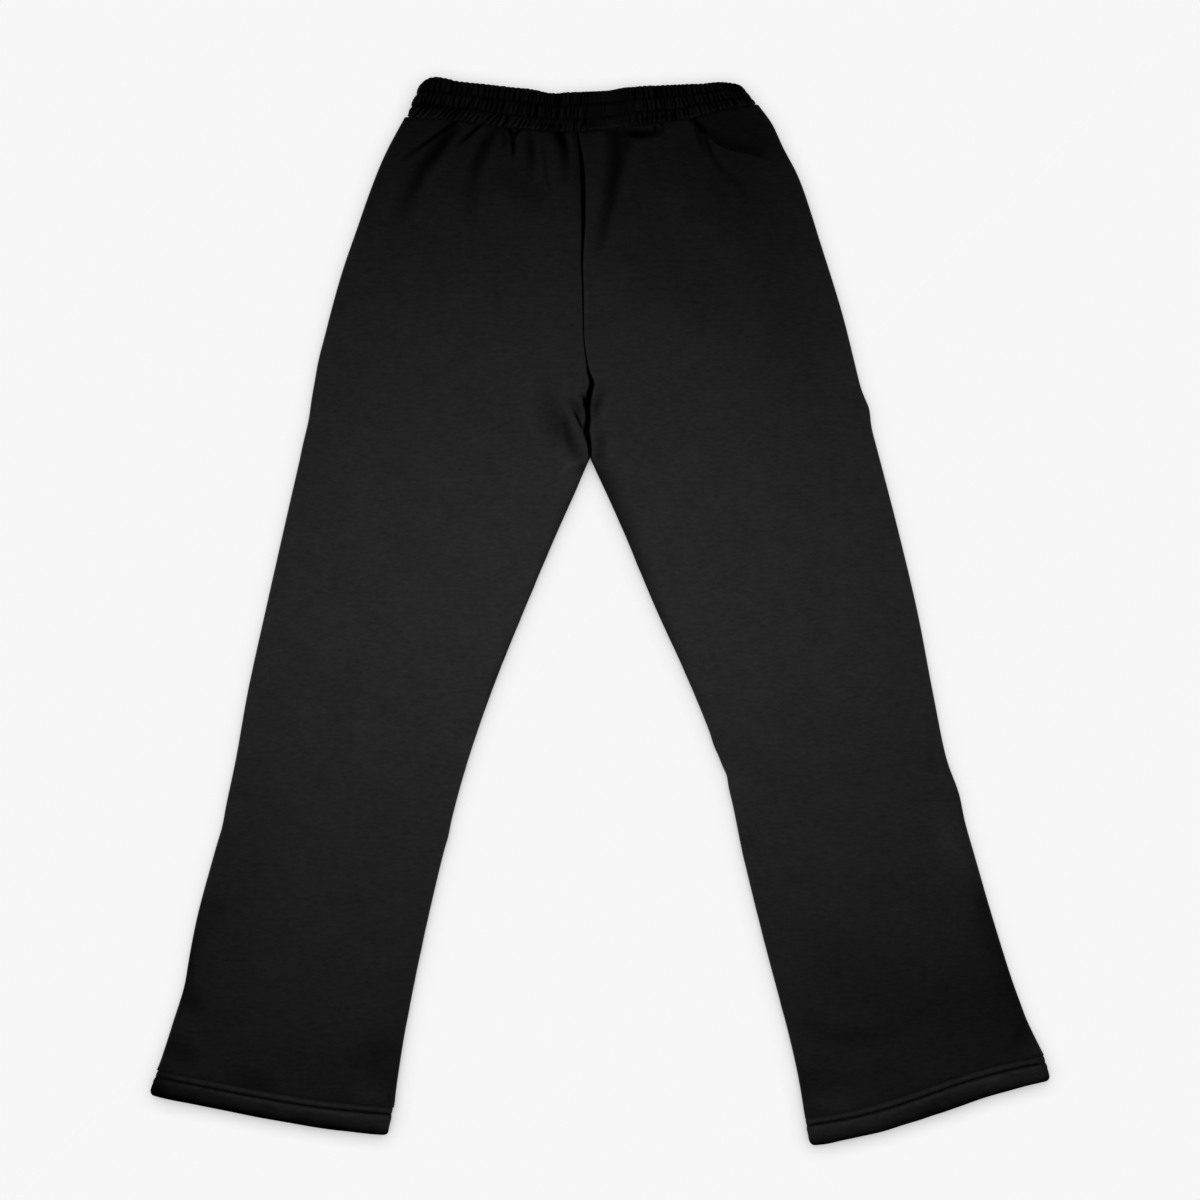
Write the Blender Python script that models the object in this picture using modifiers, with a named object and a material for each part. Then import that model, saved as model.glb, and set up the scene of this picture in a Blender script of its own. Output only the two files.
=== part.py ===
# Straight-leg fleece sweatpants laid flat on a surface, back side up, the waist towards +Y.
# Metres, +Z up. The origin is on the surface, below the middle of the outline.
# Left and right are the wearer's: the back is up, so the left leg lies at -X.
import math

import bpy
import numpy as np

COLLECTION = "sweatpants"

# Cloth, folds and gaps.
CLOTH = 0.0022  # one layer of brushed fleece
SEAM_GAP = 0.0003  # between two pieces that are sewn together
FLARE_EASE = 0.0005  # more gap where a leg flares at its outer side, above the hem
TURNED_HEM = 0.0042  # the hem, cloth turned up double
CASING = 0.0058  # one side of the waistband: elastic between two layers of cloth
BAND_HEIGHT = 0.0134  # the waistband lying flat, both sides and the slit between them
HEM_HEIGHT = 0.0094  # a hem lying flat, both layers and the slit between them
CHANNELS = 3  # rows of elastic that two stitch rows divide the waistband into
CHANNEL_GROOVE = 0.0011  # how deep a stitch row pulls the casing in
WAIST_ROWS = 4  # the panels' sections follow the waist seam's curve less and less over these
LIFT_ROWS = 3  # the flat centre front turns up into the inseams over these

# Mesh density.
ARC_STEPS = 3  # facets in the quarter round of a side edge
BACK_COLUMNS = 13  # facets across a back panel between its rounded edges
FRONT_COLUMNS = 5

# A section is a line across one leg, from its outer edge to its inner edge. Bow and sway bend it
# towards +Y, as one arch and as an S. Height is the thickness of the two layers lying there.
SECTION = ("outer_x", "outer_y", "inner_x", "inner_y", "bow", "sway", "height")
LEFT = {
    "seat": (
        (-0.1950, 0.4925, -0.0230, 0.4780, 0, 0, 0.0112),
        (-0.2130, 0.4590, -0.0195, 0.4560, 0, 0, 0.0103),
        (-0.2270, 0.4260, -0.0170, 0.4260, 0, 0, 0.0094),
        (-0.2490, 0.3660, -0.0165, 0.3660, 0, 0, 0.0082),
        (-0.2695, 0.2960, -0.0165, 0.2960, 0, 0, 0.0074),
        (-0.2860, 0.2230, -0.0110, 0.2230, 0, 0, 0.0070),
        (-0.3000, 0.1510, -0.0100, 0.1530, 0, 0, 0.0068),
    ),
    "leg": (
        (-0.3000, 0.1510, -0.0100, 0.1530, 0, 0, 0.0068),
        (-0.3160, 0.0810, -0.0430, 0.0810, 0, 0, 0.0066),
        (-0.3340, 0.0010, -0.0770, 0.0010, 0, 0, 0.0064),
        (-0.3515, -0.0790, -0.1090, -0.0790, 0, 0, 0.0064),
        (-0.3650, -0.1540, -0.1360, -0.1590, 0, 0, 0.0064),
        (-0.3820, -0.2290, -0.1570, -0.2390, 0, 0, 0.0064),
        (-0.4020, -0.3040, -0.1770, -0.3240, 0, 0, 0.0066),
        (-0.4160, -0.3740, -0.1930, -0.4040, 0, 0, 0.0068),
        (-0.4290, -0.4190, -0.2020, -0.4530, -0.001, 0, 0.0076),
        (-0.4420, -0.4610, -0.2080, -0.4980, -0.0034, 0.0027, 0.0088),
    ),
    "hem": (
        (-0.4420, -0.4610, -0.2080, -0.4980, -0.0034, 0.0027, HEM_HEIGHT),
        (-0.4500, -0.4815, -0.2130, -0.5225, -0.0060, 0.0006, HEM_HEIGHT),
    ),
}
RIGHT = {
    "seat": (
        (0.1570, 0.5050, -0.0230, 0.4780, 0, 0, 0.0112),
        (0.1845, 0.4590, -0.0195, 0.4560, 0, 0, 0.0103),
        (0.2010, 0.4260, -0.0170, 0.4260, 0, 0, 0.0094),
        (0.2205, 0.3660, -0.0165, 0.3660, 0, 0, 0.0082),
        (0.2420, 0.2960, -0.0165, 0.2960, 0, 0, 0.0074),
        (0.2600, 0.2230, -0.0110, 0.2230, 0, 0, 0.0070),
        (0.2790, 0.1510, -0.0100, 0.1530, 0, 0, 0.0068),
    ),
    "leg": (
        (0.2790, 0.1510, -0.0100, 0.1530, 0, 0, 0.0068),
        (0.2970, 0.0810, 0.0230, 0.0810, 0, 0, 0.0066),
        (0.3160, 0.0010, 0.0575, 0.0010, 0, 0, 0.0064),
        (0.3315, -0.0790, 0.0925, -0.0790, 0, 0, 0.0064),
        (0.3470, -0.1540, 0.1250, -0.1640, 0, 0, 0.0064),
        (0.3690, -0.2290, 0.1440, -0.2490, 0, 0, 0.0064),
        (0.3905, -0.3040, 0.1650, -0.3340, 0, 0, 0.0066),
        (0.4130, -0.3740, 0.1875, -0.4190, 0, 0, 0.0068),
        (0.4318, -0.4190, 0.1990, -0.4690, -0.001, 0, 0.0076),
        (0.4434, -0.4470, 0.2060, -0.5080, -0.0016, 0.0034, 0.0088),
    ),
    "hem": (
        (0.4434, -0.4470, 0.2060, -0.5080, -0.0016, 0.0034, HEM_HEIGHT),
        (0.4500, -0.4690, 0.2110, -0.5335, -0.0040, 0.0031, HEM_HEIGHT),
    ),
}

# The waistband's two long edges, from the left end to the right end, and its slanted ends.
SEAM_EDGE = (  # x, y of the seam to the panels
    (-0.1950, 0.4925), (-0.1460, 0.4890), (-0.0850, 0.4815), (-0.0230, 0.4780), (0.0180, 0.4825),
    (0.0580, 0.4870), (0.0900, 0.4915), (0.1250, 0.5005), (0.1570, 0.5050),
)
TOP_EDGE = (  # x, y of the open edge of the waist
    (-0.1790, 0.5270), (-0.1640, 0.5330), (-0.1400, 0.5290), (-0.1000, 0.5250), (-0.0680, 0.5220),
    (-0.0420, 0.5185), (-0.0080, 0.5190), (0.0420, 0.5250), (0.1020, 0.5275), (0.1220, 0.5290),
    (0.1420, 0.5240),
)

# Gathers and creases of the back panels: a soft trough (depth below 0) or ridge along a line.
FOLDS = (  # from_x, from_y, to_x, to_y, width, depth
    (-0.145, 0.480, -0.190, 0.411, 0.009, -0.0022),
    (-0.126, 0.484, -0.158, 0.405, 0.009, 0.0010),
    (-0.108, 0.478, -0.130, 0.366, 0.008, -0.0018),
    (-0.084, 0.477, -0.085, 0.446, 0.008, -0.0026),
    (-0.044, 0.484, -0.030, 0.421, 0.008, -0.0026),
    (0.018, 0.480, -0.001, 0.364, 0.009, -0.0020),
    (0.052, 0.484, 0.040, 0.430, 0.010, 0.0010),
    (0.092, 0.490, 0.151, 0.411, 0.008, -0.0018),
    (0.125, 0.497, 0.168, 0.448, 0.009, -0.0018),
    (-0.036, 0.206, -0.018, 0.178, 0.009, -0.0012),
    (-0.295, 0.209, -0.200, 0.200, 0.010, 0.0006),
    (0.345, -0.150, 0.150, -0.215, 0.012, 0.0006),
)
FOLD_FADE = 0.016  # a fold fades out over this length past its ends and at a panel's edges

# Where the sections are cut, as row numbers of the seat and leg tables.
# The front panels begin to turn up between the last seat cut and the crotch.
SEAT_CUTS = (0, 0.3, 0.65, 1, 1.5, 2, 2.3, 2.65, 3, 3.6, 4.3, 5, 5.45, 5.82)
LEG_CUTS = (0, 0.3, 0.8, 1.5, 2.3, 3.1, 4, 5, 6, 7, 8, 9)

FLEECE = {"colour": (0.0185, 0.0185, 0.0195), "roughness": 0.95, "metallic": 0.0}
RIB_CASING = {"colour": (0.0150, 0.0150, 0.0160), "roughness": 0.92, "metallic": 0.0}


def through(rows, at):
    # A smooth curve through the rows of a table, read at a row number with a fraction.
    rows = np.asarray(rows, float)
    slopes = np.gradient(rows, axis=0) if len(rows) > 2 else np.repeat(rows[1:] - rows[:1], 2, axis=0)
    first = min(int(at), len(rows) - 2)
    t = at - first
    start = (1 + 2 * t) * (1 - t) ** 2 * rows[first] + t * (1 - t) ** 2 * slopes[first]
    return start + t * t * (3 - 2 * t) * rows[first + 1] - t * t * (1 - t) * slopes[first + 1]


def edge_y(edge, x):
    # The y of a waistband edge at x, with a smooth curve between its points.
    places = [point[0] for point in edge]
    at = float(np.interp(x, places, range(len(places))))
    return through(edge, at)[1]


def fold_relief(x, y):
    total = 0.0
    for from_x, from_y, to_x, to_y, width, depth in FOLDS:
        length = math.hypot(to_x - from_x, to_y - from_y)
        along_x = (to_x - from_x) / length
        along_y = (to_y - from_y) / length
        along = (x - from_x) * along_x + (y - from_y) * along_y
        aside = (x - from_x) * along_y - (y - from_y) * along_x
        past = max(0.0, -along, along - length)
        total += depth * math.exp(-((aside / width) ** 2) - (past / FOLD_FADE) ** 2)
    return total


def sections(side):
    # Every section of a leg's panels, with the waist and hem ends half a seam gap inside the seams.
    rows = [through(side["seat"], at) for at in SEAT_CUTS]
    rows += [through(side["leg"], at) for at in LEG_CUTS]
    named = [dict(zip(SECTION, row)) for row in rows]
    named[0]["outer_y"] -= SEAM_GAP / 2
    named[0]["inner_y"] -= SEAM_GAP / 2
    named[-1]["outer_y"] += SEAM_GAP / 2
    named[-1]["inner_y"] += SEAM_GAP / 2
    for number, row in enumerate(named):
        rising = min(1.0, max(0.0, (number - len(SEAT_CUTS) + 1) / LIFT_ROWS))
        row["inseam_lift"] = rising * rising * (3 - 2 * rising)
    return named


def line_point(row, share):
    # The point of a section's line at a share of its width, from the outer edge to the inner edge.
    bend = row["bow"] * math.sin(math.pi * share) + row["sway"] * math.sin(2 * math.pi * share)
    x = row["outer_x"] + (row["inner_x"] - row["outer_x"]) * share
    y = row["outer_y"] + (row["inner_y"] - row["outer_y"]) * share + bend
    return np.array((x, y))


def quarter_round(radius):
    # Facets tangent to a quarter circle: (distance in from the edge, rise from mid-height, angle).
    # The first facet is upright and the last one is level, so that the cloth's rims lie square.
    reach = radius / math.cos(math.pi / 4 / ARC_STEPS)
    angles = [math.pi / 2 * (step + 0.5) / ARC_STEPS for step in range(ARC_STEPS)]
    return [(radius - reach * math.cos(angle), reach * math.sin(angle), angle) for angle in angles]


def layer(height, width, columns, is_back):
    # One layer across, from edge to edge: (distance from the outer edge, z, angle of the face).
    # It turns to mid-height at both edges, where the other layer begins a seam gap away.
    middle = height / 2
    side = 1 if is_back else -1
    edge = [(0.0, middle + side * SEAM_GAP / 2, 0.0)]
    edge += [(distance, middle + side * rise, angle) for distance, rise, angle in quarter_round(middle)]
    span = width - height
    flat = [
        (middle + span * step / columns, middle + side * middle, math.pi / 2)
        for step in range(1, columns)
    ]
    return edge + flat + [(width - distance, z, math.pi - angle) for distance, z, angle in reversed(edge)]


def seam_bend(side, share):
    # How far the waist seam bends away from its straight section, at a share of its width.
    waist = dict(zip(SECTION, side["seat"][0]))
    x, y = line_point(waist, share)
    return edge_y(SEAM_EDGE, x) - y


def panel_points(side, is_back):
    columns = BACK_COLUMNS if is_back else FRONT_COLUMNS
    centre_gap = -SEAM_GAP / 2 if side is LEFT else SEAM_GAP / 2
    grid = []
    for number, row in enumerate(sections(side)):
        if number <= len(SEAT_CUTS):
            row["inner_x"] += centre_gap
        width = float(np.linalg.norm(line_point(row, 1) - line_point(row, 0)))
        waist_share = max(0.0, 1 - number / WAIST_ROWS)
        points = []
        for column, (distance, z, _) in enumerate(layer(row["height"], width, columns, is_back)):
            from_inner = columns + 2 * ARC_STEPS - column
            if not is_back and from_inner <= ARC_STEPS:
                # The centre front seam lies flat on the surface, and the inseam turns up.
                level = width - row["height"] / 2 * from_inner / (ARC_STEPS + 1)
                distance = level + (distance - level) * row["inseam_lift"]
                z *= row["inseam_lift"]
            x, y = line_point(row, distance / width)
            y += waist_share * seam_bend(side, distance / width)
            if is_back:
                inside = min(distance, width - distance)
                z += fold_relief(x, y) * min(1.0, inside / FOLD_FADE) ** 2
            points.append((x, y, z))
        grid.append(points)
    return grid


def finish_object(name, vertices, faces, material, is_shell):
    mesh = bpy.data.meshes.new(name)
    mesh.from_pydata([tuple(vertex) for vertex in vertices], [], faces)
    mesh.validate()
    mesh.shade_smooth()
    obj = bpy.data.objects.new(name, mesh)
    obj.data.materials.append(material)
    bpy.data.collections[COLLECTION].objects.link(obj)
    if is_shell:
        shell = obj.modifiers.new("cloth", "SOLIDIFY")
        shell.thickness = CLOTH
        shell.offset = -1
        shell.use_even_offset = True
        shell.use_quality_normals = True
    return obj


def make_panel(name, side, is_back, material):
    grid = panel_points(side, is_back)
    wide = len(grid[0])
    vertices = [point for row in grid for point in row]
    faces = []
    for row in range(len(grid) - 1):
        for column in range(wide - 1):
            corner = row * wide + column
            faces.append((corner, corner + wide, corner + wide + 1, corner + 1))
    if (side is LEFT) != is_back:
        faces = [face[::-1] for face in faces]
    return finish_object(name, vertices, faces, material, True)


def casing_section():
    # (share of the height from the seam up, depth below the outer face), round the whole section.
    steps = CHANNELS * 4
    outer = []
    for step in range(1, steps):
        share = step / steps
        bulge = abs(math.sin(math.pi * share * CHANNELS))
        outer.append((share, CHANNEL_GROOVE * (1 - bulge ** 0.7)))
    inner = [(0.93, CASING * 0.93), (0.8, CASING), (0.2, CASING), (0.07, CASING * 0.93)]
    return [(0, CASING * 0.45)] + outer + [(1, CASING * 0.45)] + inner


def hem_section():
    # The same round a hem, from the panel seam down to the folded edge.
    outer = [(0, 0.0014), (0.05, 0.0004), (0.13, 0.0), (0.25, 0.0006), (0.4, 0.0), (0.8, 0.0), (0.95, 0.0006)]
    inner = [(0.95, TURNED_HEM - 0.0006), (0.8, TURNED_HEM), (0.06, TURNED_HEM), (0, TURNED_HEM - 0.0010)]
    return outer + [(1, TURNED_HEM / 2)] + inner


def make_band(name, stations, section, material):
    # A section carried along stations. A station gives the outer face's two edge points and the
    # direction from that face into the cloth. The two ends are closed flat.
    vertices = []
    for first, last, inward in stations:
        for share, depth in section:
            vertices.append(first + (last - first) * share + inward * depth)
    around = len(section)
    faces = []
    for station in range(len(stations) - 1):
        for step in range(around):
            corner = station * around + step
            beside = station * around + (step + 1) % around
            faces.append((corner, beside, beside + around, corner + around))
    faces.append(tuple(range(around))[::-1])
    faces.append(tuple(range(len(vertices) - around, len(vertices))))
    return finish_object(name, vertices, faces, material, False)


def inward_of(level, angle, is_back):
    # From a face into the cloth. It is longer at the corner of two tangent facets, as in a mitre.
    corner = abs(math.sin(angle) - 1) > 1e-6 and angle > 0
    mitre = 1 / math.cos(math.pi / 4 / ARC_STEPS) if corner and angle < math.pi else 1
    upward = np.array((0, 0, 1 if is_back else -1))
    return (level * math.cos(angle) - upward * math.sin(angle)) * mitre


def waistband_stations():
    # From the centre back seam round the left end, along the front, round the right end and back.
    radius = BAND_HEIGHT / 2
    low_ends = SEAM_EDGE[0][0], SEAM_EDGE[-1][0]
    high_ends = TOP_EDGE[0][0], TOP_EDGE[-1][0]
    width = (low_ends[1] - low_ends[0] + high_ends[1] - high_ends[0]) / 2
    join = (LEFT["seat"][0][2] - low_ends[0]) / (low_ends[1] - low_ends[0]) * width
    ends = quarter_round(radius)
    back_left = [join - SEAM_GAP / 2 - (join - radius) * step / BACK_COLUMNS for step in range(BACK_COLUMNS)]
    back_right = [
        join + SEAM_GAP / 2 + (width - radius - join) * step / BACK_COLUMNS for step in range(BACK_COLUMNS)
    ]
    front = [join * step / FRONT_COLUMNS for step in range(1, FRONT_COLUMNS + 1)]
    front += [join + (width - join) * step / FRONT_COLUMNS for step in range(1, FRONT_COLUMNS)]

    upper = math.pi / 2
    places = [(distance, radius, upper, True) for distance in back_left]
    places += [(distance, rise, angle, True) for distance, rise, angle in reversed(ends)]
    places += [(distance, rise, angle, False) for distance, rise, angle in ends]
    places += [(distance, radius, upper, False) for distance in front]
    places += [(width - distance, rise, math.pi - angle, False) for distance, rise, angle in reversed(ends)]
    places += [(width - distance, rise, math.pi - angle, True) for distance, rise, angle in ends]
    places += [(distance, radius, upper, True) for distance in reversed(back_right)]

    stations = []
    for distance, rise, angle, is_back in places:
        share = distance / width
        z = radius + (rise if is_back else -rise)
        low_x = low_ends[0] + (low_ends[1] - low_ends[0]) * share
        high_x = high_ends[0] + (high_ends[1] - high_ends[0]) * share
        low = np.array((low_x, edge_y(SEAM_EDGE, low_x) + SEAM_GAP / 2, z))
        high = np.array((high_x, edge_y(TOP_EDGE, high_x), z))
        stations.append((low, high, inward_of(np.array((1, 0, 0)), angle, is_back)))
    return stations


def hem_stations(side, is_back):
    seam, fold = (dict(zip(SECTION, row)) for row in side["hem"])
    seam["outer_y"] -= SEAM_GAP / 2 + FLARE_EASE
    seam["inner_y"] -= SEAM_GAP / 2
    across = line_point(fold, 1) - line_point(fold, 0)
    width = float(np.linalg.norm(across))
    level = np.array((*across / width, 0))
    columns = BACK_COLUMNS if is_back else FRONT_COLUMNS
    stations = []
    for distance, z, angle in layer(HEM_HEIGHT, width, columns, is_back):
        first = np.array((*line_point(seam, distance / width), z))
        last = np.array((*line_point(fold, distance / width), z))
        stations.append((first, last, inward_of(level, angle, is_back)))
    return stations


def make_material(name, look):
    material = bpy.data.materials.new(name)
    material.use_nodes = True
    shader = material.node_tree.nodes["Principled BSDF"]
    shader.inputs["Base Color"].default_value = (*look["colour"], 1)
    shader.inputs["Roughness"].default_value = look["roughness"]
    shader.inputs["Metallic"].default_value = look["metallic"]
    material.diffuse_color = (*look["colour"], 1)
    return material


def main():
    for obj in list(bpy.data.objects):
        bpy.data.objects.remove(obj)
    bpy.context.scene.collection.children.link(bpy.data.collections.new(COLLECTION))
    for name, side in (("left", LEFT), ("right", RIGHT)):
        make_panel(name + "_back", side, True, make_material(name + "_back", FLEECE))
        make_panel(name + "_front", side, False, make_material(name + "_front", FLEECE))
        for half, is_back in (("back", True), ("front", False)):
            piece = name + "_hem_" + half
            stations = hem_stations(side, is_back)
            if (side is LEFT) != is_back:
                stations = stations[::-1]
            make_band(piece, stations, hem_section(), make_material(piece, FLEECE))
    make_band("waistband", waistband_stations(), casing_section(), make_material("waistband", RIB_CASING))


main()
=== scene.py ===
import bpy
import numpy as np
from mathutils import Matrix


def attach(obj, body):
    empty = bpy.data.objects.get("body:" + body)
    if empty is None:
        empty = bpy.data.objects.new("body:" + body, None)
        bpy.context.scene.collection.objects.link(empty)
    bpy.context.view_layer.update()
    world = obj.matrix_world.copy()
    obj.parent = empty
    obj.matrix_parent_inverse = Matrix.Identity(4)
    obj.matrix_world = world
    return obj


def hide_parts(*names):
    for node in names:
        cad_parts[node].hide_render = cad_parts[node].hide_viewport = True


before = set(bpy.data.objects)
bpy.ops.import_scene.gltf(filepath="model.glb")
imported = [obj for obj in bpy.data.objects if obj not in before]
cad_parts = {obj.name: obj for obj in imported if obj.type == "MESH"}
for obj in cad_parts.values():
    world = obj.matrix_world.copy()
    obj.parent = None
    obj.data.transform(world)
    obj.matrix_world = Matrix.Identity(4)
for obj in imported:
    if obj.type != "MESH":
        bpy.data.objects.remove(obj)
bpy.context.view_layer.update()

# Straight-leg fleece sweatpants lying flat with the back up and the waist towards +Y.
# Metres, +Z up. Left and right are the wearer's, so the left leg lies at -X.
print("frame loaded:", len(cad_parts), "solids")


def mm(*table):
    return np.array(table) / 1000


cloth = {
    "layer": 0.0022,  # one layer of brushed fleece
    "seamGap": -0.00006,  # between pieces sewn together; below 0 they press together
    "turnedHem": 0.0042,  # cloth turned up double
    "casing": 0.0058,  # one side of the waistband
    "bandHeight": 0.0134,  # lying flat, both sides
    "hemHeight": 0.0094,
}

# A row is a line across one leg: outer x and y, inner x and y, how it bends towards +Y as one arch
# and as an S, and the height of both layers. Kinks of the outline are y, how far outwards, and how
# long. Painted shades of the edges are y in mm, tone, and reach in mm; a tone below 0 is painted
# highlight. On a hem, by share of its width: kinks of the folded edge, and factor and tone of its
# painted shade. Waves are height, size and seed.
leftLeg = {
    "side": -1,
    "outerKinks": mm((380, -1, 28), (250, 1, 20), (190, -1.3, 18), (-215, -1.2, 16), (-375, -0.9, 18),
                     (-466, 1.6, 10)),
    "innerKinks": mm((20, 1.4, 300), (-360, 1.2, 160), (-225, 0.8, 10)),
    "rows": mm(
        (-195, 492.5, -23, 478, 0, 0, 11.2), (-213, 459, -19.5, 456, 0, 0, 10.3),
        (-227, 426, -17, 426, 0, 0, 9.4), (-249, 366, -16.5, 366, 0, 0, 8.2),
        (-269.5, 296, -16.5, 296, 0, 0, 7.4), (-286, 223, -11, 223, 0, 0, 7),
        (-300, 151, -10, 153, 0, 0, 6.8), (-316, 81, -43, 81, 0, 0, 6.6), (-334, 1, -77, 1, 0, 0, 6.4),
        (-351.5, -79, -109, -79, 0, 0, 6.4), (-365, -154, -136, -159, 0, 0, 6.4),
        (-382, -229, -157, -239, 0, 0, 6.4), (-402, -304, -177, -324, 0, 0, 6.6),
        (-416, -374, -193, -404, 0, 0, 6.8), (-429, -419, -201, -453, -1, 0, 7.6),
        (-441.7, -458.1, -206.4, -495.4, -4, 0.8, 8.8),
    ),
    "hem": mm((-441.7, -458.1, -206.4, -495.4, -4, 0.8, 9.4), (-450.4, -480.5, -211.3, -521.7, -6, 0.6, 9.4)),
    "foldKinks": ((0.08, 0.0018, 0.15), (0.57, -0.0009, 0.08), (0.93, 0.0016, 0.11)),
    # painted light over the whole hem, then the reach of its painted shade by the fold and the painted shade
    # at its ends
    "hemPaintedLight": 0,
    "hemFade": ((0, 0.7), (0.2, 0.88), (0.4, 1), (0.8, 1.05), (0.92, 1.25), (0.97, 2)),
    "hemEndShade": ((0, 0.58), (0.03, 0.48), (0.06, 0.25), (0.1, 0.14), (0.3, 0.06), (0.5, 0), (0.99, 0),
                (1, 0.25)),
    "cornerCut": (0.0052, 0.0016),
    "outerShade": ((-470, 0.45, 12), (-439, 0.2, 12), (-400, 0.12, 10), (-379, 0.4, 12), (-349, 0.55, 6),
                   (-319, 0.26, 14), (-289, 0.14, 20), (-265, 0, 20)),
    "innerShade": ((-492, 0, 50), (-470, 0.28, 50), (-439, 0.28, 50), (-405, 0.04, 30), (-105, 0, 5),
                   (-80, 0.3, 5), (-50, 0.34, 4), (-10, 0.2, 4), (40, 0.3, 4), (100, 0.32, 7),
                   (131, 0.28, 5), (141, 0.5, 7), (150, 0.2, 10), (158, 0, 6)),
}
rightLeg = {
    "side": 1,
    "outerKinks": mm((487, 3.4, 17), (202, 2.8, 13), (-181, 3.2, 22), (50, 0.8, 250), (-300, 0.9, 100),
                     (-410, -1.2, 16), (-456, 2, 18)),
    "innerKinks": mm((10, 1.2, 55), (-134, 1.2, 10), (-164, -1.5, 8)),
    "rows": mm(
        (157, 505, -23, 478, 0, 0, 11.2), (184.5, 459, -19.5, 456, 0, 0, 10.3),
        (201, 426, -17, 426, 0, 0, 9.4), (220.5, 366, -16.5, 366, 0, 0, 8.2),
        (242, 296, -16.5, 296, 0, 0, 7.4), (260, 223, -11, 223, 0, 0, 7), (279, 151, -10, 153, 0, 0, 6.8),
        (297, 81, 23, 81, 0, 0, 6.6), (316, 1, 57.5, 1, 0, 0, 6.4), (331.5, -79, 92.5, -79, 0, 0, 6.4),
        (347, -154, 125, -164, 0, 0, 6.4), (369, -229, 144, -249, 0, 0, 6.4),
        (390.5, -304, 165, -334, 0, 0, 6.6), (413, -374, 187.5, -419, 0, 0, 6.8),
        (431.8, -419, 198.7, -469, -1, 0, 7.6), (442, -443.3, 204.8, -506.8, -1.2, 3.4, 8.8),
    ),
    "hem": mm((443, -443.3, 204.8, -506.8, -1.2, 3.4, 9.4), (450.6, -467.8, 209, -532.9, -3.6, 3.1, 9.4)),
    "foldKinks": ((0.93, 0.0013, 0.05), (0.6, -0.0011, 0.07), (0.45, 0.0005, 0.04)),
    # painted light over the whole hem, then the reach of its painted shade by the fold and the painted shade
    # at its ends
    "hemPaintedLight": 0.12,
    "hemFade": ((0, 2.2), (0.12, 1.9), (0.25, 1.6), (0.36, 1), (0.62, 1), (0.7, 1.35), (0.9, 1.55),
                (1, 1.6)),
    "hemEndShade": ((0, 0.3), (0.02, 0.12), (0.05, 0), (0.985, 0), (1, 0.3)),
    "cornerCut": (0.0052, 0.0036),
    "outerShade": ((-425, 0, 30), (-409, 0.22, 30), (-379, 0.34, 18), (-349, 0.4, 9), (-319, 0.32, 26),
                   (-290, 0.3, 12), (-265, 0, 10), (-226, 0, 6), (-213, 0.24, 5), (-199, 0.28, 5),
                   (-175, 0, 6)),
    "innerShade": ((-498, 0, 50), (-478, 0.28, 50), (-445, 0, 50), (-250, 0, 20), (-229, 0.12, 20),
                   (-199, -0.14, 16), (-169, -0.14, 20), (-139, 0, 10), (-79, 0.15, 7), (-49, 0.3, 9),
                   (-19, 0.42, 7.5), (11, 0.38, 8), (71, 0.48, 11), (101, 0.56, 12), (131, 0.6, 14),
                   (150, 0.46, 12), (162, 0, 10)),
}
waistSeam = mm((-195, 492.5), (-146, 489), (-85, 481.5), (-23, 478), (18, 482.5), (58, 487), (90, 491.5),
    (125, 500.5), (157, 505))
waistTop = mm((-179, 527.6), (-164, 532.1), (-140, 527.7), (-100, 523.6), (-68, 520.3), (-48, 516.2),
    (-30, 517.2), (8, 518.3), (24, 521.3), (42, 523.3), (102, 525.8), (122, 527.4), (142, 524.2))
# By y: half the width of the dark valley over the centre back seam, and the seam's bends aside.
centreSeam = {
    "valley": mm((153, 1.6), (166, 2.2), (176, 3.5), (196, 2.9), (206, 3.5), (216, 3.3), (227, 2.7),
                 (236, 1.8), (246, 0.8), (271, 0.4), (296, 0.6), (351, 1), (381, 1.7), (404, 2.2),
                 (446, 2.2), (461, 1.4), (471, 0.8), (478, 0.8)),
    "bends": mm((351, -1.4, 22), (270, -1.2, 22), (228, 3, 8.5), (203, -2.2, 11), (180, -3.4, 10)),
    "roll": 0.0014,  # how far beyond the valley the cloth turns down into it
    "fall": 0.0018,  # how deep, and how much more by the valley's half width
    "steepness": 0.75,
    "frontAside": 0.0010,  # how far right of it the front seam lies
}
crotchPlace = 6  # rows 0 to 6 are the seat, 6 to 15 the leg
hemPlace = 15


def ease(low, high, value):
    t = np.clip((value - low) / (high - low), 0, 1)
    return t * t * (3 - 2 * t)


def near(distance, reach):
    # 1 where the distance is 0, falling away over the reach
    return np.exp(-(distance / reach) ** 2)


def dip(size, distance):
    # a soft dip of a given depth and width
    return size[0] * near(distance, size[1])


def readTable(table, at):
    # the second column at values of the first
    return np.interp(at, *np.transpose(table))


def runOf(points):
    # the length of a line up to each of its points
    return np.concatenate([[0], np.cumsum(np.linalg.norm(np.diff(points, axis=0), axis=1))])


def through(rows, places):
    # a smooth curve through the rows of a table, at many row numbers
    slopes = np.gradient(rows, axis=0)
    first = np.clip(np.floor(places).astype(int), 0, len(rows) - 2)
    t = (places - first)[..., None]
    start = (1 + 2 * t) * (1 - t) ** 2 * rows[first] + t * (1 - t) ** 2 * slopes[first]
    return start + t * t * (3 - 2 * t) * rows[first + 1] - t * t * (1 - t) * slopes[first + 1]


def edgeY(edge, x):
    # the y of a waistband edge at x
    return through(edge, np.interp(x, edge[:, 0], range(len(edge))))[..., 1]


def rowsAt(leg, places):
    seat = through(leg["rows"][:crotchPlace + 1], np.minimum(places, crotchPlace))
    lower = through(leg["rows"][crotchPlace:], np.maximum(places - crotchPlace, 0))
    return np.where((places < crotchPlace)[:, None], seat, lower)


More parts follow.
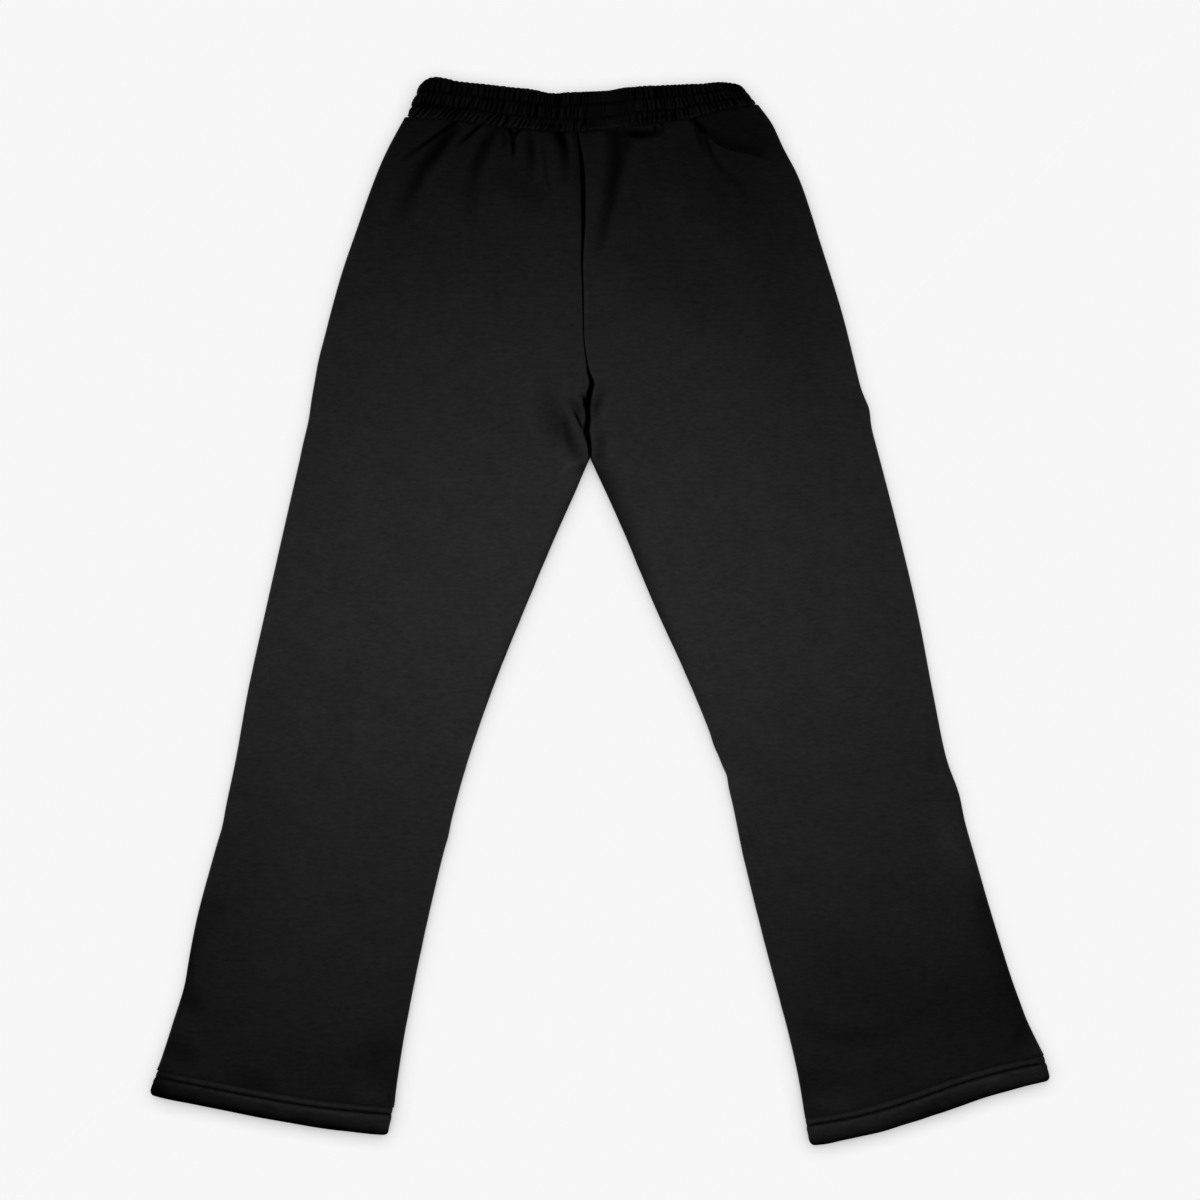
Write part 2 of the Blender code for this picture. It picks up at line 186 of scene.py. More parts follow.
def acrossRow(rows, share):
    # x and y on each row's line at a share of its width from the outer edge
    outerX, outerY, innerX, innerY, bow, sway, _ = rows.T[:, :, None]
    bend = bow * np.sin(np.pi * share) + sway * np.sin(2 * np.pi * share)
    return outerX + (innerX - outerX) * share, outerY + (innerY - outerY) * share + bend


def kinks(table, at):
    return sum(outwards * near(at - middle, length) for middle, outwards, length in table)


def softWaves(x, y, kind, more=0):
    # smooth and uneven; the kind is height, size and seed
    tall, size, seed = kind
    draw = np.random.default_rng(seed + more)
    total = 0
    for _ in range(9):
        angle = draw.uniform(0, 2 * np.pi)
        pitch = size * draw.uniform(0.7, 1.6) * 2
        turn = draw.uniform(0, 2 * np.pi)
        total = total + np.sin((x * np.cos(angle) + y * np.sin(angle)) * 2 * np.pi / pitch + turn)
    return tall * total / 4.5


def alongPath(path, x, y):
    # (distance to a smooth path, signed to its left, and how far along it, from 0 to 1)
    path = through(path, np.linspace(0, len(path) - 1, 4 * len(path)))
    run = runOf(path)
    nearest = np.full(x.shape, 9.0)
    along = np.zeros(x.shape)
    for start, step, past in zip(path[:-1], np.diff(path, axis=0), run[:-1]):
        length = np.hypot(*step)
        right, up = x - start[0], y - start[1]
        t = np.clip((right * step[0] + up * step[1]) / length ** 2, 0, 1)
        distance = np.hypot(right - t * step[0], up - t * step[1])
        closer = distance < np.abs(nearest)
        isLeft = right * step[1] < up * step[0]
        nearest = np.where(closer, np.where(isLeft, distance, -distance), nearest)
        along = np.where(closer, (past + t * length) / run[-1], along)
    return nearest, along


def fold(path, widths, depths, shade, lean=0, lip=0.3):
    # in mm, x and y along the path, widths at its ends, and depths along it, below 0 for a ridge;
    # how dark its painted shade is, below 0 for a painted highlight; how much wider on its left; and how high
    # its lips are, by its depth
    path = mm(*path).reshape(-1, 2)
    return dict(path=path, widths=mm(*widths), depths=mm(*depths), shade=shade, lean=lean, lip=lip)


foldShape = {
    "shadeWidth": 1 / 0.85,  # how wide the painted shade is, by the fold's width
    "lipAt": 2.1,  # how far out its lips lie and how wide they are
    "lip": (1, 0.9),
    # painted highlight on the lips
    "lipLight": 0.16,
}


def foldField(folds, x, y):
    # (relief in metres, painted shade); the painted shade is 1 for black and below 0 for a painted highlight
    relief, dark, light = np.zeros((3, *x.shape))
    for one in folds:
        distance, along = alongPath(one["path"], x, y)
        width = np.interp(along, (0, 1), one["widths"])
        depth = np.interp(along, np.linspace(0, 1, len(one["depths"])), one["depths"])
        distance = distance / width / np.where(distance > 0, 1 + one["lean"], 1 - one["lean"])
        middle = near(distance, 1)
        lip = dip(foldShape["lip"], np.abs(distance) - foldShape["lipAt"])
        relief += depth * (one["lip"] * lip - middle)
        strength = one["shade"] * np.abs(depth) / np.abs(one["depths"]).max()
        dark = np.maximum(dark, strength * near(distance, foldShape["shadeWidth"]))
        catches = np.minimum(strength, 0) * middle - foldShape["lipLight"] * np.abs(strength) * lip
        light = np.minimum(light, catches)
    return relief, dark + light * (1 - dark)


def darken(shade, tone):
    # the darker of two painted shades; a painted highlight stays where nothing darkens it
    return np.maximum(np.maximum(shade, 0), tone) + np.minimum(shade, 0) * (1 - tone)


def surfaceNormals(points, upward):
    # of a grid of points, on its upper or lower side
    normals = np.cross(np.gradient(points, axis=0), np.gradient(points, axis=1))
    normals /= np.linalg.norm(normals, axis=2, keepdims=True) + 1e-12
    return normals * upward * np.sign(normals[:, normals.shape[1] // 2, 2].mean())


def makeMesh(name, points, faces, finish, shade=None):
    mesh = bpy.data.meshes.new(name)
    mesh.from_pydata(points.reshape(-1, 3).tolist(), [], faces)
    mesh.shade_smooth()
    mesh.set_sharp_from_angle(angle=np.radians(60))
    # the shade attribute holds painted shade, 1 for black, and painted highlight below 0; the fleece mixes it
    # into its colour
    if shade is not None:
        mesh.attributes.new("paintedShade", "FLOAT", "POINT").data.foreach_set("value", shade.ravel())
    mesh.materials.append(finish)
    piece = bpy.data.objects.new(name, mesh)
    bpy.context.scene.collection.objects.link(piece)
    return piece


def quads(grid, flip):
    # the faces between the points of a grid
    faces = np.stack([grid[:-1, :-1], grid[1:, :-1], grid[1:, 1:], grid[:-1, 1:]], axis=2)
    return faces.reshape(-1, 4)[:, ::-1 if flip else 1].tolist()


def border(grid):
    # round the edge, back to the first point
    return np.concatenate([grid[0], grid[1:, -1], grid[-1, -2::-1], grid[-2::-1, 0]])


def shellFaces(rows, columns, flip):
    # the outer face of the cloth and an inner face of half its density, closed by a rim
    face = np.arange(rows * columns).reshape(rows, columns)
    lining = face.size + np.arange((rows // 2 + 1) * (columns // 2 + 1)).reshape(rows // 2 + 1, -1)
    outer, inner = border(face), border(lining)
    rim = np.stack([outer[:-2:2], outer[1::2], outer[2::2], inner[1:], inner[:-1]], axis=1)
    return quads(face, flip) + quads(lining, not flip) + rim[:, ::-1 if flip else 1].tolist()


def ringFaces(stations, around, start=0):
    # a closed section carried along stations, with closed ends
    grid = start + np.arange(stations * around).reshape(stations, around)
    beside = np.roll(grid, -1, axis=1)
    faces = np.stack([grid[:-1], beside[:-1], beside[1:], grid[1:]], axis=2)
    return faces.reshape(-1, 4).tolist() + [grid[0, ::-1].tolist(), grid[-1].tolist()]


class Wire:
    # a socket; an expression on it adds its Math nodes
    def __init__(self, finish, socket):
        self.finish = finish
        self.socket = socket

    def beside(self, output):
        # another output of the same node
        return Wire(self.finish, self.socket.node.outputs[output])

    def maths(self, operation, first, second):
        return self.finish.add("ShaderNodeMath", {"operation": operation}, {0: first, 1: second})

    def __add__(self, other):
        return self.maths("ADD", self, other)

    def __radd__(self, other):
        return self.maths("ADD", other, self)

    def __sub__(self, other):
        return self.maths("SUBTRACT", self, other)

    def __rsub__(self, other):
        return self.maths("SUBTRACT", other, self)

    def __mul__(self, other):
        return self.maths("MULTIPLY", self, other)

    def __rmul__(self, other):
        return self.maths("MULTIPLY", other, self)

    def __pow__(self, other):
        return self.maths("POWER", self, other)


class Finish:
    # the nodes of a material or of the world
    def __init__(self, owner):
        owner.use_nodes = True
        self.tree = owner.node_tree

    def feed(self, target, value):
        if isinstance(value, Wire):
            self.tree.links.new(value.socket, target)
        else:
            target.default_value = value

    def add(self, kind, settings=None, sockets=None, output=0):
        node = self.tree.nodes.new(kind)
        for name, value in (settings or {}).items():
            setattr(node, name, value)
        for name, value in (sockets or {}).items():
            self.feed(node.inputs[name], value)
        return Wire(self, node.outputs[output])

    def set(self, node, **values):
        # sockets of a node that is there from the start
        for name, value in values.items():
            self.feed(self.tree.nodes[node].inputs[name.replace("_", " ")], value)

    def noise(self, size, detail, roughness, stretch=1):
        # size in metres, longer along X by the stretch
        place = self.add("ShaderNodeTexCoord", output="Object")
        place = self.add("ShaderNodeVectorMath", {"operation": "MULTIPLY"},
                         {0: place, 1: (1 / size / stretch, 1 / size, 1 / size)})
        return self.add("ShaderNodeTexNoise", {"noise_dimensions": "3D"},
                        {"Vector": place, "Scale": 1, "Detail": detail, "Roughness": roughness})

    def mix(self, share, first, second, **settings):
        return self.add("ShaderNodeMix", {"data_type": "RGBA", **settings},
                        {0: share, 6: first, 7: second}, output=2)

    def bump(self, height, strength, distance):
        return self.add("ShaderNodeBump", None,
                        {"Height": height, "Strength": strength, "Distance": distance})

    def surface(self, share, first, second):
        mixed = self.add("ShaderNodeMixShader", None, {0: share, 1: first, 2: second})
        self.set("Material Output", Surface=mixed)


def grey(value):
    return (value, value, value, 1)


fleeceLook = {
    "dark": grey(0.0105),  # between the fibres
    "light": grey(0.0255),  # the tips of the brushed pile
    "paintedDark": grey(0.0004),  # painted shade: the near-black that the shade attribute mixes in
    # patterns: strength, size, detail, roughness and stretch across
    "streaks": (1.10, 0.0034, 3, 0.55, 2.4),
    "mottling": (0.58, 0.020, 3, 0.6, 1.4),
    "grain": (0.55, 0.0008, 2, 0.6, 1.5),
    "roughness": 0.93,
    "smoother": 0.08,  # where the streaks are lightest
    "sheen": 0.06,
    "bump": (0.45, 0.0006),  # strength and height
}
# lighter copies of the fleece: painted light on the waistband's rib crests and, more strongly, on the turned
# hem; the waistband's mottling is also weaker
bandLook = dict(fleeceLook, dark=grey(0.0110), light=grey(0.0270), mottling=(0.3, 0.020, 3, 0.6, 1.4))
hemLitLook = dict(fleeceLook, dark=grey(0.0185), light=grey(0.0440))
threadLook = {
    "dark": grey(0.0060),
    "light": grey(0.0200),
    "twist": 0.00035,
    "roughness": 0.6,
    "bump": (0.4, 0.0002),
}


def makeFleece(name, look):
    # brushed cotton: short streaks of pile across the grain, and soft mottling, with painted shade and
    # painted highlight from the shade attribute
    material = bpy.data.materials.new(name)
    finish = Finish(material)
    patterns = []
    value = 0.5
    for strength, *kind in (look["streaks"], look["mottling"], look["grain"]):
        patterns.append(finish.noise(*kind))
        value = value + (patterns[-1] - 0.5) * strength
    streaks, _, grain = patterns
    pile = finish.mix(value, look["dark"], look["light"])
    # painted highlight where the shade attribute is below 0
    shade = finish.add("ShaderNodeAttribute", {"attribute_name": "paintedShade"}, output="Fac")
    paintedLight = finish.add("ShaderNodeMath", {"operation": "MINIMUM"}, {0: shade, 1: 0})
    colour = finish.mix(paintedLight, pile, grey(0), clamp_factor=False)
    finish.set("Principled BSDF", Base_Color=colour, Specular_IOR_Level=0.12,
               Normal=finish.bump(streaks * 0.5 + grain * 0.5, *look["bump"]),
               Roughness=look["roughness"] - look["smoother"] * streaks,
               Sheen_Weight=look["sheen"], Sheen_Roughness=0.6, Sheen_Tint=grey(1))
    # painted shade: a near-black surface, mixed in by the shade attribute
    paintedDark = finish.add("ShaderNodeBsdfDiffuse", None, {"Color": look["paintedDark"]})
    finish.surface(shade, Wire(finish, finish.tree.nodes["Principled BSDF"].outputs[0]), paintedDark)
    return material


def makeThread(name, look):
    # spun thread: fine twisted strands
    material = bpy.data.materials.new(name)
    finish = Finish(material)
    twist = finish.noise(look["twist"], 2, 0.6)
    finish.set("Principled BSDF", Base_Color=finish.mix(twist, look["dark"], look["light"]),
               Normal=finish.bump(twist, *look["bump"]), Roughness=look["roughness"],
               Specular_IOR_Level=0.25)
    return material


fleece = makeFleece("brushed fleece", fleeceLook)
frontFleece = makeFleece("brushed fleece front", fleeceLook)
hemFleece = makeFleece("turned hem fleece", hemLitLook)
bandFleece = makeFleece("waistband fleece", bandLook)
hemThread = makeThread("hem thread", threadLook)
bandThread = makeThread("waistband thread", threadLook)
print("finishes made")


panel = {
    "back": (481, 140),  # rows, an odd number, and columns
    "front": (231, 52),
    "edgeColumns": 6,  # round each side edge
    # where the rows lie closer, by how much and over what reach, from the waist
    "finer": ((0, 2.2, 0.10), (0.30, 0.9, 0.045)),
    "seamFiner": 0.3,  # the columns, by the inner edge
    "leastRadius": 0.0004,  # inside a turned edge
    "waves": ((0.00022, 0.016, 3), (0.00007, 0.006, 4)),
    "billow": (0.0007, 0.085, 11),
    "sideFade": 0.012,  # folds grow over this from the side edges in
    # pulled in along its edges: how deep and how wide
    "atSide": (0.0004, 0.0010),
    "atWaist": (0.0016, 0.0024),
    "atHem": (0.0010, 0.0016),
    "deepest": (0.0029, 0.7),  # at the waist seam, and more by the distance from it
    "tuckPaintedShade": ((-0.14, 0.12), (-0.10, 0.42), (0.06, 0.42), (0.09, 0.20)),  # painted shade along the waist seam: x and tone
    "tuckShadeWaves": (0.25, 0.007, 5),
    "tuckShadeReach": 0.0020,
    "shadeLeftOfCentre": (0.42, 0.0075),  # painted shade beside the upper centre seam
    "lightRightOfCentre": (0.16, 0.0016),  # and painted highlight, this far from the valley
    "rightBeside": 0.0022,
    "spare": 0.0009,  # depth that the inner face doesn't follow
    "turned": 0.006,  # how far in the side edges are round
    "leastGaps": (0.0003, 0.0008),  # between back and front, and between the faces
}
backFolds = [fold(*row) for row in (
    ((-143, 489.5, -152, 482.5, -172, 467.5, -206, 443), (1.6, 3), (1.8, 1.8, 1.4, 0.8, 0), 1, 0.1),
    ((-144, 485.5, -152, 479, -163, 472), (1.3, 1.8), (1, 0.9, 0), 0.75),
    ((-145.5, 481, -153.5, 470, -165, 454.5, -178.5, 437, -191.5, 410, -204, 384), (5.6, 7.2), (2.6, 3.6,
     3.2, 2.6, 2, 1.2, 0.3), 0.8, -0.1),
    ((-119, 484.5, -127, 477, -137, 468, -149, 458), (1.7, 2.6), (1.8, 1.8, 0.9, 0), 1),
    ((-103, 482, -111, 470, -118, 456, -124, 440, -128, 420, -130, 380), (4.6, 8.5), (1.8, 3, 2.8, 2, 1.2,
     0.6, 0), 0.6),
    ((-91, 483.5, -89.5, 478, -86.5, 472.5), (2.8, 2.2), (2.2, 2.6, 2.4), 1),
    ((-77, 483.5, -81, 478.5, -86.3, 472.5), (1.8, 2), (1.8, 2, 2.2), 1),
    ((-86.8, 473.5, -86.6, 465, -86.2, 451), (2.4, 1.6), (2.6, 2.4, 2, 0.4), 1),
    ((-96, 480, -94.5, 470, -93, 454), (3.6, 5), (1.4, 1, 0), 0.45),
    ((-103, 445, -87, 429, -69, 417), (11, 11), (0.3, 0.8, 0.8), 0.24),
    ((-69.5, 473, -68.5, 456, -69, 438, -70, 420), (3.8, 5.8), (1, 2, 1.4, 0.8, 0.2), 0.6, -0.2),
    ((-56, 462, -54.5, 440, -51, 425, -43, 413), (1.8, 2.6), (0.2, 0.6, 0.6, 0), 0.3),
    ((-60, 464, -59.5, 440, -57, 420), (2, 2.4), (0, -0.6, 0), -0.14),
    ((-43, 484, -38.5, 474, -35, 462, -33.5, 450, -34.5, 418), (5.4, 4), (3.6, 3.6, 2.8, 1.4, 0.8, 0), 1,
     -0.3),
    ((15.5, 477, 17.2, 460, 16.2, 444, 13, 428, 10.5, 409, 4.5, 387, 0.5, 367, -3.5, 348), (8.5, 4.8), (2.4,
     2.9, 2.9, 2.7, 2.2, 1.4, 0), 0.7, -0.1),
    ((25, 476, 25, 460, 21, 444), (7, 5), (0.6, 0.8, 0), 0.5, 0, 0),
    ((14, 478, 24, 473, 40, 470), (6, 6), (1.4, 1.4, 0), 0.55),
    ((25, 478, 34, 475.5, 47, 475.5, 61, 478.5), (4.6, 3.2), (1.8, 3.2, 3.2, 2.4, 1.4), 1, 0, 0.2),
    ((54.5, 482, 56, 473), (1.8, 1.8), (1.4, 1.2, 0), 0.9),
    ((62, 485, 63.5, 478), (1.6, 1.8), (1.4, 1, 0), 0.8),
    ((92.5, 490.5, 96, 486, 100.5, 481, 108, 474.5), (3, 4.2), (2.6, 3, 3, 1), 1),
    ((102, 480, 106, 469, 109.5, 460, 114, 450, 121.5, 440.5, 136, 426, 150, 411, 159, 399), (2.2, 5.8),
     (1.6, 1.8, 1.5, 1.2, 1.1, 1, 0.8, 0), 0.62),
    ((96, 480, 100, 469, 103, 461, 108, 449), (2.2, 3.2), (1.8, 1.6, 1, 0), 0.7),
    ((101, 483, 109, 473.5, 117, 465.5, 130, 460.5, 148, 456.5, 172, 450), (5.4, 8.6), (2.2, 3.4, 3.6, 3.4,
     2.8, 0.8), 0.6, 0.75),
    ((115, 490, 140, 480, 165, 470), (12, 13), (0.6, 0.8, 0.6), 0.34),
    ((49, 462, 51, 442, 56, 417), (4.8, 5.5), (0.3, 0.8, 0), 0.2),
    ((118, 440, 155, 370, 185, 290, 210, 170), (30, 36), (0.5, 0.5, 0.4, 0.1), 0.2, 0, 0),
    ((25, 390, 80, 340, 125, 300, 150, 250), (36, 34), (0.3, 0.5, 0.5, 0.1), 0.16, 0, 0),
    ((240, -360, 320, -395, 395, -375), (36, 36), (0.3, 0.5, 0.4), 0.2, 0, 0),
    ((-350, -180, -368, -270, -380, -350), (34, 34), (0.2, 0.4, 0.3), 0.11, 0, 0),
    ((-395, -260, -400, -360, -360, -445, -260, -470), (30, 34), (0.2, 0.4, 0.4, 0.3), 0.12, 0, 0),
    ((-19.5, 217.5, -16, 213, -15.5, 205), (2, 2.2), (0.2, 1.2, 1.2), 1),
    ((-28.5, 205, -24, 196, -18, 183), (1.5, 1.7), (0.6, 1.6, 1.4), 1),
    ((-28, 209, -22.5, 203, -19, 193), (3.8, 3.6), (0.8, 1.2, 0.6), 0.55),
    ((-38, 205, -34.5, 186.5, -30.5, 171, -23, 155), (5.6, 5.6), (0.3, 1.2, 1.4, 0.8), 0.62),
    ((-48, 210, -43, 188, -35, 164), (12, 10), (0.3, 0.6, 0.6, 0.2), 0.42, 0, 0),
    ((-19, 235, -33, 228, -38.5, 211, -31, 194, -21.5, 172), (3.2, 1.8), (0, -0.8, -0.9, -1, -0.4), -0.28),
    ((1, 220, -4, 205, -6.5, 188), (5, 4.6), (0.4, 1.2, 0.2), 0.62),
    ((0, 182, 0.5, 168, 0, 156), (4.2, 4.5), (0.2, 0.8, 1), 0.42),
    ((-40, 156, -36, 150), (4, 4), (-0.6, -0.6), -0.22),
    ((-38, 137.5, -31, 145, -20, 150), (3, 2.4), (-0.5, -0.9, -0.7), -0.45),
    ((-29, 138, -17, 144), (2.2, 2.6), (0, 1), 0.5),
    ((338, -185, 344, -208, 350, -232, 361, -258, 369, -276), (16, 11), (0, -0.8, -1.1, -0.9, 0), -0.45),
    ((372, -260, 382, -298, 388, -320), (6, 7), (0, 1.2, 0), 0.28),
    ((130, -164, 220, -175, 340, -150), (12, 12), (0.7, 0.4, 0.7), 0.05, 0, 0.5),
    ((-295, 209, -250, 205, -190, 200), (10, 12), (0.9, 0.6, 0), 0.06, 0, 0.5),
    ((-372, -189, -330, -196, -260, -204), (11, 12), (0.9, 0.5, 0), 0.06, 0, 0.5),
    ((-383, -276, -379, -295, -380, -320), (9, 11), (0, 0.8, 0), 0.28),
    ((-414, -380, -407, -390, -388, -404), (8, 10), (0.7, 0.9, 0), 0.4),
    ((-432, -432, -420, -439, -393, -448), (8, 10), (0.8, 1, 0), 0.42),
    ((-366, -460, -345, -468, -310, -476), (9, 9), (0.4, 0.8, 0), 0.38),
    ((-250, -476, -231, -483, -218, -488), (9, 7.5), (0, -0.7, -0.8, -0.6), -0.34),
    ((-212.5, -479, -209.5, -490), (3.5, 3.5), (0, 0.6, 0.4), 0.32),
    ((-214, -439, -240, -450, -290, -454), (10, 12), (0.9, 0.6, 0), 0.12),
    ((208, -412, 226, -421, 270, -426, 330, -413), (10, 12), (0.6, 1, 0.6, 0), 0.3),
    ((212, -483, 226, -491, 242, -495, 260, -492), (9, 9), (-0.3, -0.8, -1, -0.2), -0.5),
    ((420, -408, 419, -424, 415, -440), (6, 7), (0.3, 1, 0.4), 0.42),
    ((416, -433, 360, -446), (9, 12), (0.7, 0), 0.2),
    ((430, -426, 433, -440), (6, 6), (-0.3, -0.7), -0.35),
)]
# The front has a few plain folds below the waist and at the crotch.
frontFolds = [fold(*row) for row in (
    ((-150, 487, -170, 455, -190, 400), (6, 10), (1.6, 1.2, 0), 0.4),
    ((-105, 482, -115, 450, -122, 395), (6, 9), (1.4, 1.2, 0), 0.4),
    ((-60, 479, -58, 455, -50, 410), (5, 7), (1.2, 1, 0), 0.4),
    ((20, 481, 22, 450, 18, 400), (5, 8), (1.4, 1.2, 0), 0.4),
    ((68, 487, 80, 455, 96, 405), (6, 9), (1.4, 1.2, 0), 0.4),
    ((118, 497, 138, 462, 160, 420), (6, 9), (1.6, 1.2, 0), 0.4),
    ((-40, 205, -75, 170, -120, 150), (7, 10), (1, 0.8, 0), 0.25),
    ((15, 205, 50, 168, 100, 150), (7, 10), (1, 0.8, 0), 0.25),
)]
gathers = {  # short puckers that run down from the waist seam
    "seed": 7,
    "spacing": (0.008, 0.016),
    "depth": (0.0002, 0.0009),
    "width": 0.0028,
    "reach": (0.008, 0.024),
    "fan": (0.55, -0.02, 0.17),  # how much they lean out at the hips, the waist's middle and half
}
# How far each leg's opening gapes, at even steps across it.
hemOpening = {-1: mm(0, 1, 1.9, 1.3, 2.1, 0.9, 0), 1: mm(0, 1.2, 0.8, 2, 1.5, 1.1, 0)}


def rowPlaces(leg, count):
    # row numbers from the waist to the hem, closer where the panel is finer
    dense = np.linspace(0, hemPlace, 3000)
    rows = rowsAt(leg, dense)
    run = runOf((rows[:, 0:2] + rows[:, 2:4]) / 2)
    density = 1 + sum(closer * near(run - at, reach) for at, closer, reach in panel["finer"])
    weight = np.concatenate([[0], np.cumsum(density[1:] * np.diff(run))])
    return np.interp(np.linspace(0, weight[-1], count), weight, dense)


def hemLift(leg, share):
    return np.interp(share, np.linspace(0, 1, 7), hemOpening[leg["side"]])


def gatherField(leg, x, y):
    draw = np.random.default_rng(gathers["seed"] + leg["side"])
    relief = np.zeros(x.shape)
    below = edgeY(waistSeam, x) - y
    start, end = sorted(leg["rows"][0, [0, 2]])
    fan, middle, half = gathers["fan"]
    place = start + 0.006
    while place < end - 0.004:
        depth = draw.uniform(*gathers["depth"])
        reach = draw.uniform(*gathers["reach"])
        aside = x - place - fan * (place - middle) / half * below
        relief += depth * near(aside, gathers["width"]) * near(below, reach)
        place += draw.uniform(*gathers["spacing"])
    return relief


def edgeShade(shade, table, atY, fromEdge):
    # painted shade beside an edge, or painted highlight where the tone is below 0
    heights, tones, reaches = np.transpose(table)
    tone, reach = [np.interp(atY * 1000, heights, column)[:, None] for column in (tones, reaches)]
    return shade + (1 - np.clip(shade, 0, 1)) * tone * near(fromEdge, reach / 1000)


def makePanel(name, leg, isBack, finish):
    rowCount, flatCount = panel["back" if isBack else "front"]
    gap, layer, side = cloth["seamGap"], cloth["layer"], leg["side"]
    upward = 1 if isBack else -1
    places = rowPlaces(leg, rowCount)
    rows = rowsAt(leg, places)
    past = places - crotchPlace
    atEnds = np.interp(places, (0, 0.5, hemPlace - 0.5, hemPlace), (-gap / 2, 0, 0, gap / 2))
    rows[:, (1, 3)] += atEnds[:, None]
    rows[:, 2] += np.interp(past, (0, 0.3), (side * gap / 2, 0))
    rows[:, 0] += side * kinks(leg["outerKinks"], rows[:, 1])
    seamY = rows[:, 3]
    isLeg = ease(0, 0.6, past)
    rows[:, 2] += kinks(centreSeam["bends"], seamY) * (1 - isLeg)
    if not isBack:
        rows[:, 2] += centreSeam["frontAside"] * (1 - ease(-0.3, 0, past))
    rows[:, 2] -= side * kinks(leg["innerKinks"], seamY) * isLeg
    width = np.hypot(rows[:, 2] - rows[:, 0], rows[:, 3] - rows[:, 1])[:, None]
    height = rows[:, 6:7]
    places, past = places[:, None], past[:, None]

    # each side edge is a quarter of an ellipse: its reach in and its fall
    middle = height / 2 - gap / 2
    if isBack:
        halfValley = readTable(centreSeam["valley"], seamY)[:, None]
        isLeg = ease(-0.4, 0.5, past)
        innerReach = halfValley + centreSeam["roll"]
        innerReach += (middle - innerReach) * isLeg
        innerFall = centreSeam["fall"] + centreSeam["steepness"] * halfValley
        innerFall += (middle - innerFall) * isLeg
        turn = np.ones(height.shape)
    else:
        # the centre seam lies flat, and the inseam turns up
        innerReach = middle
        turn = ease(-0.2, 0.8, past)
        innerFall = middle * turn
    angles = np.linspace(0, np.pi / 2, panel["edgeColumns"] + 1)
    share = np.linspace(0, 1, flatCount + 1)[1:-1]
    share *= 1 + panel["seamFiner"] * (1 - share)

    def across(start, outerSpan, innerStart, innerSpan):
        outer = start + outerSpan * (1 - np.cos(angles))
        inner = width - innerStart - innerSpan * (1 - np.cos(angles[::-1]))
        flat = outer[:, -1:] + (inner[:, :1] - outer[:, -1:]) * share
        return np.hstack([outer, flat, inner])

    def fallen(outerDrop, innerDrop):
        outer, inner = [drop * (1 - np.sin(angles)) for drop in (outerDrop, innerDrop)]
        return np.hstack([outer, 0 * width * share, inner[:, ::-1]])

    def place(distance, fall):
        x, y = acrossRow(rows, distance / width)
        waistX, waistY = acrossRow(rows[:1], distance / width)
        follow = np.interp(places, (0, 0.3, 0.65, 1, 1.5), (1, 0.75, 0.5, 0.25, 0))
        y = y + follow * (edgeY(waistSeam, waistX) - gap / 2 - waistY)
        return np.stack([x, y, height - fall if isBack else fall], axis=2)

    fromOuter = across(0, middle, 0, innerReach)
    face = place(fromOuter, fallen(middle, innerFall))
    outerSpan, innerSpan = [np.maximum(reach - layer, panel["leastRadius"]) for reach in (middle, innerReach)]
    lining = place(across(layer, outerSpan, layer * turn, innerSpan),
                   layer + fallen(middle - layer, (innerFall - layer) * turn))
    x, y = face[..., 0], face[..., 1]
    toCentre = width - fromOuter
    inside = np.minimum(fromOuter, toCentre)
    toWaist = np.where(places < 2, np.abs(edgeY(waistSeam, x) - gap / 2 - y), 1)
    hemY = acrossRow(rows[-1:], fromOuter / width)[1]
    toHem = np.where(places > hemPlace - 1, np.abs(y - hemY), 1)

    # the folds' relief, with their painted shade and painted highlight
    relief, shade = foldField(backFolds if isBack else frontFolds, x, y)
    relief = (relief - gatherField(leg, x, y)) * ease(0, panel["sideFade"], inside)
    for kind in panel["waves"]:
        relief += softWaves(x, y, kind)
    relief -= dip(panel["atSide"], fromOuter)
    relief -= dip(panel["atWaist"], toWaist) * ease(0, panel["sideFade"], fromOuter)
    # no fold is so deep that the waist seam gapes
    deepest, more = panel["deepest"]
    relief = np.maximum(relief, -deepest - more * toWaist)
    relief -= dip(panel["atHem"], toHem) * ease(0, 0.008, inside)
    # painted shade along the waist seam
    tucked = readTable(panel["tuckPaintedShade"], x) + softWaves(x, y * 0, panel["tuckShadeWaves"])
    shade = darken(shade, np.clip(tucked, 0, 1) * near(toWaist, panel["tuckShadeReach"]))
    lift = 0
    if isBack:
        seat = 1 - ease(-0.05, 0.1, past)
        # painted shade left of the upper centre seam, painted highlight right of it
        if side < 0:
            shade = darken(shade, ease(0.37, 0.42, y) * dip(panel["shadeLeftOfCentre"], toCentre))
        else:
            beside = toCentre - halfValley - panel["rightBeside"]
            shade -= seat * dip(panel["lightRightOfCentre"], beside)
        # painted shade, and some painted highlight, along the outer and inner edges
        shade = edgeShade(shade, leg["outerShade"], rows[:, 1], fromOuter)
        shade = edgeShade(shade, leg["innerShade"], seamY, toCentre)
        # painted black in the valley over the centre back seam
        inValley = 1 - ease(-0.0004, 0.0007, toCentre - halfValley)
        shade = darken(shade, seat * inValley)
        fromEdges = ease(0, 0.05, inside) * ease(0, 0.03, np.minimum(toWaist, toHem))
        relief += softWaves(x, y, panel["billow"]) * fromEdges
        lift = hemLift(leg, fromOuter / width) * ease(hemPlace - 4, hemPlace, places) ** 1.5
    else:
        relief = np.minimum(relief - 0.0002, 0) * ease(0, 0.004, inside)

    # beside the centre seam the cloth only rises and sinks, so that it stays closed
    upright = (1 - ease(-0.1, 0.2, past)) * (1 - ease(0.003, 0.007, toCentre))
    normals = surfaceNormals(face, upward)
    normals += (np.array([0, 0, upward]) - normals) * upright[..., None]
    face = face + normals * relief[..., None]
    face[..., 2] += lift
